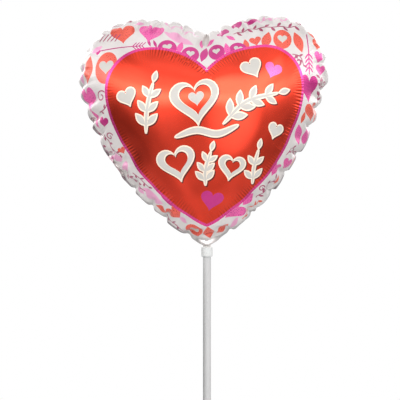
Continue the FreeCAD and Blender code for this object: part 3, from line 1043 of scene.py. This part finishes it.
def place_along(points, outline):
    """Each point's place along a closed outline, and how far inside the outline it is."""
    along = lengths(outline)[0]
    direction = tangents(outline)
    tree = search_tree(outline)
    nearest = np.array([tree.find((x, z, 0))[1] for x, z in points])
    away = points - outline[nearest]
    place = along[nearest] + (away * direction[nearest]).sum(1)
    return place, cross(direction[nearest], away)


def film(name, surface, flat, faces, ink, foil):
    """One printed film, 0.1 mm thick, with what its material reads."""
    seam, edge = heart_outline(0.4, **SEAM), red_outline(0.4)
    total, edge_total = lengths(seam)[1], lengths(edge)[1]
    along, inset = place_along(flat, seam)
    at = lifted(flat, surface)
    relief = creases(along, inset, total) + crimps(*place_along(flat, edge), edge_total) + neck_channel(flat)
    at += relief[:, None] * MM * outward_normals(at, faces)
    at[:, 1] += flange_curl(along, inset, total) * MM
    item = new_object(name, at, faces, foil)
    store(item, "FACE", "ink", ink)
    store(item, "POINT", "from_tip", np.minimum(along, total - along))
    store(item, "POINT", "inset", inset)
    applied(item, "SOLIDIFY", thickness=FILM, offset=1.0)
    # Narrow triangles between two printed edges would spoil plain vertex normals.
    applied(item, "WEIGHTED_NORMAL", mode="FACE_AREA")
    return item


def balloon_films():
    """The front and rear films, cut from the same print and blown up together."""
    mesh = balloon_mesh()
    places = fitted(calmed(mesh, inflate(mesh)))
    seam = heart_outline(1.0, **SEAM)
    layers = [(ink, anticlockwise(outline)) for ink, outline in print_layers()]
    # The print stops just short of the solver's outer row, so that all of it can be lifted.
    flat, triangles, ink = printed_mesh(layers, offset(seam, FLANGE - 0.02), seam)
    foil = foil_material()
    for side, slot in (("front", "front_print_foil"), ("rear", "rear_foil")):
        faces = triangles if side == "front" else triangles[:, ::-1]
        item = film(side + "_film", surface_of(mesh, places, side), flat, faces, ink, foil)
        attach(item, "balloon")
        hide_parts(side + "_foil_panel")


def tail_points(sign, low, top, cup_top):
    """Half a tail, from low to top: a sleeve round the stick that gathers into a flat, pleated end."""
    points = []
    for z in np.linspace(low, top, TAIL_ROWS):
        gather = min(1, max(0, (z - (cup_top - GATHER_START)) / GATHER_HEIGHT))
        gather = gather * gather * (3 - 2 * gather)
        for turn in np.linspace(0, math.pi, TAIL_COLUMNS):
            pleat = math.sin(9 * turn + 1.3 * math.sin(2 * turn) + sign)
            radius = TAIL_RADIUS + PLEAT_HEIGHT * pleat * (1 - gather)
            depth = (0.28 + 0.45 * gather * (0.5 + 0.5 * pleat)) * MM
            gathered = 0.06 * MM + depth * math.sin(turn)
            y = (1 - gather) * radius * math.sin(turn) + gather * gathered
            points.append((radius * math.cos(turn), sign * y, z))
    return np.array(points)


def neck_tails():
    """The film's tail, gathered into pleats where the cup clamps it round the stick."""
    foil = plastic_material("tail_foil", "D9D6D2", 0.3, 1.0)
    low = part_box("front_neck_tail")[0].z
    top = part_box("front_foil_panel")[0].z + 1.6 * MM
    cup_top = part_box("clamp_cup")[1].z
    firsts = [i * TAIL_COLUMNS + j for i in range(TAIL_ROWS - 1) for j in range(TAIL_COLUMNS - 1)]
    faces = np.array([(i, i + 1, i + TAIL_COLUMNS + 1, i + TAIL_COLUMNS) for i in firsts])
    for side, sign in (("front", -1), ("rear", 1)):
        points = tail_points(sign, low, top, cup_top)
        item = new_object(side + "_gathered_tail", points, faces if sign > 0 else faces[:, ::-1], foil)
        applied(item, "SOLIDIFY", thickness=TAIL_FILM, offset=-1.0)
        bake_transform(item)
        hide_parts(side + "_neck_tail")


def dress(node_name, finish):
    """Gives a CAD node its material."""
    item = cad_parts[node_name]
    item.data.materials.clear()
    item.data.materials.append(finish)


# ---------- camera, light and stage

def greys(tree, value, stops):
    """A grey tone that follows a value between -1 and 1."""
    places = [(0.5 + 0.5 * place, (tone, tone, tone, 1)) for place, tone in stops]
    return ramp(tree, math_node(tree, "MULTIPLY_ADD", value, 0.5, 0.5), places)


def dome_light(tree):
    """What the gloss sees: a bright band in front, dim flanks, a dim back and a few soft panes."""
    place = node(tree, "TexCoord").outputs["Object"]
    direction = node(tree, "VectorMath", operation="NORMALIZE", i0=place).outputs[0]
    x, y, z = node(tree, "SeparateXYZ", Vector=direction).outputs
    band = greys(tree, z, BAND)
    flank = mapped(tree, math_node(tree, "ABSOLUTE", x), 0.45, 0.95, 1.0, 0.62)
    back = mapped(tree, y, 0.1, 0.6, 1.0, 0.7)
    blotches = node(tree, "TexNoise", Vector=direction, Scale=2.6, Detail=1.0).outputs["Fac"]
    blotches = mapped(tree, blotches, 0.35, 0.65, 0.84, 1.14)
    tone = math_node(tree, "MULTIPLY", math_node(tree, "MULTIPLY", flank, back), blotches)
    strength = math_node(tree, "MULTIPLY", band, tone)
    for toward, edge, core, light in PANES:
        near = node(tree, "VectorMath", operation="DOT_PRODUCT", i0=direction, i1=toward).outputs["Value"]
        strength = math_node(tree, "ADD", strength, mapped(tree, near, edge, core, 0.0, light))
    return strength


def reflection_dome(middle):
    """A shell round the object that only gloss sees."""
    shell = bmesh.new()
    bmesh.ops.create_icosphere(shell, subdivisions=4, radius=3.0)
    mesh = bpy.data.meshes.new("reflection_dome")
    shell.to_mesh(mesh)
    shell.free()
    made, tree, shader = material("reflection_dome")
    mesh.materials.append(made)
    dome = linked("reflection_dome", mesh)
    dome.location = middle
    dome.visible_camera = False
    dome.visible_diffuse = False
    dome.visible_shadow = False
    made.cycles.emission_sampling = "NONE"
    feed(tree, shader, {"Base Color": (0, 0, 0, 1), "Specular IOR Level": 0,
                        "Emission Color": (1, 1, 1, 1), "Emission Strength": dome_light(tree)})


def camera(low, width):
    """The view: level, from in front, and a little left of the stick."""
    lens = bpy.data.cameras.new("camera")
    lens.sensor_width = 36
    lens.lens = lens.sensor_width * CAMERA_DISTANCE / (VIEW_WIDTH * width)
    view = linked("camera", lens)
    view.location = (CAMERA_X * width, -CAMERA_DISTANCE, low.z + CAMERA_Z * width)
    view.rotation_euler = (math.pi / 2, 0, 0)
    bpy.context.scene.camera = view
    bpy.context.scene.view_settings.view_transform = "Standard"


def white_world():
    """A white room, darker below the floor's edge."""
    world = bpy.data.worlds.new("studio")
    bpy.context.scene.world = world
    world.use_nodes = True
    tree = world.node_tree
    direction = node(tree, "TexCoord").outputs["Generated"]
    up = node(tree, "SeparateXYZ", Vector=direction).outputs["Z"]
    tone = greys(tree, up, ((-1.0, 0.3), (-0.4, 0.4), (-0.26, 1.0), (0.2, 1.0), (1.0, 1.1)))
    feed(tree, tree.nodes["Background"], {"Color": tone})


def softbox(name, place, target, size, power):
    """A rectangular light that gloss doesn't see."""
    light = bpy.data.lights.new(name, "AREA")
    light.shape = "RECTANGLE"
    light.size, light.size_y = size
    light.energy = power
    item = linked(name, light)
    item.location = place
    item.rotation_euler = (Vector(target) - Vector(place)).to_track_quat("-Z", "Y").to_euler()
    item.visible_glossy = False


def dark_flag(top):
    """A dark flag close to the left of the stick, which dims that side and isn't seen."""
    black, tree, shader = material("black_flag")
    feed(tree, shader, {"Base Color": (0.01, 0.01, 0.01, 1)})
    x = -50 * MM
    side = 60 * MM
    bottom = 20 * MM
    corners = [(x, -side, bottom), (x, side, bottom), (x, side, top), (x, -side, top)]
    flag = new_object("left_flag", np.array(corners), np.array([[0, 1, 2, 3]]), black)
    flag.visible_camera = False
    flag.visible_shadow = False
    flag.visible_glossy = False


def pale_floor():
    """The matt floor that the stick stands on."""
    made, tree, shader = material("pale_floor")
    grain = node(tree, "TexNoise", Scale=40.0).outputs["Fac"]
    feed(tree, shader, {"Base Color": mapped(tree, grain, 0.0, 1.0, 0.86, 0.9), "Roughness": 0.8})
    corners = FLOOR_SIDE * np.array([(-1, -1, 0), (1, -1, 0), (1, 1, 0), (-1, 1, 0)])
    floor = new_object("floor", corners + (0, 0, -0.5 * MM), np.array([[0, 1, 2, 3]]), made)
    floor.visible_glossy = False


def studio():
    """The camera, the lights and what stands round the object."""
    low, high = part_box("front_foil_panel")
    middle = Vector((0, 0, (low.z + high.z) / 2))
    camera(low, high.x - low.x)
    white_world()
    softbox("key_light", (-0.25, -1.45, 0.93), middle, (1.5, 0.36), 9)
    softbox("fill_light", (0.9, -0.9, 1.3), middle, (0.5, 0.5), 2)
    reflection_dome(middle)
    dark_flag(low.z - 15 * MM)
    pale_floor()


studio()
balloon_films()
neck_tails()
dress("stick_tube", plastic_material("stick_plastic", "BEBEBE", 0.35, 0.03))
dress("clamp_cup", plastic_material("cup_plastic", "D2D4D3", 0.3, 1.0, 0.2))
valve = plastic_material("valve_film", "D5D9DC", 0.4, 0.5)
dress("valve_film_front", valve)
dress("valve_film_rear", valve)
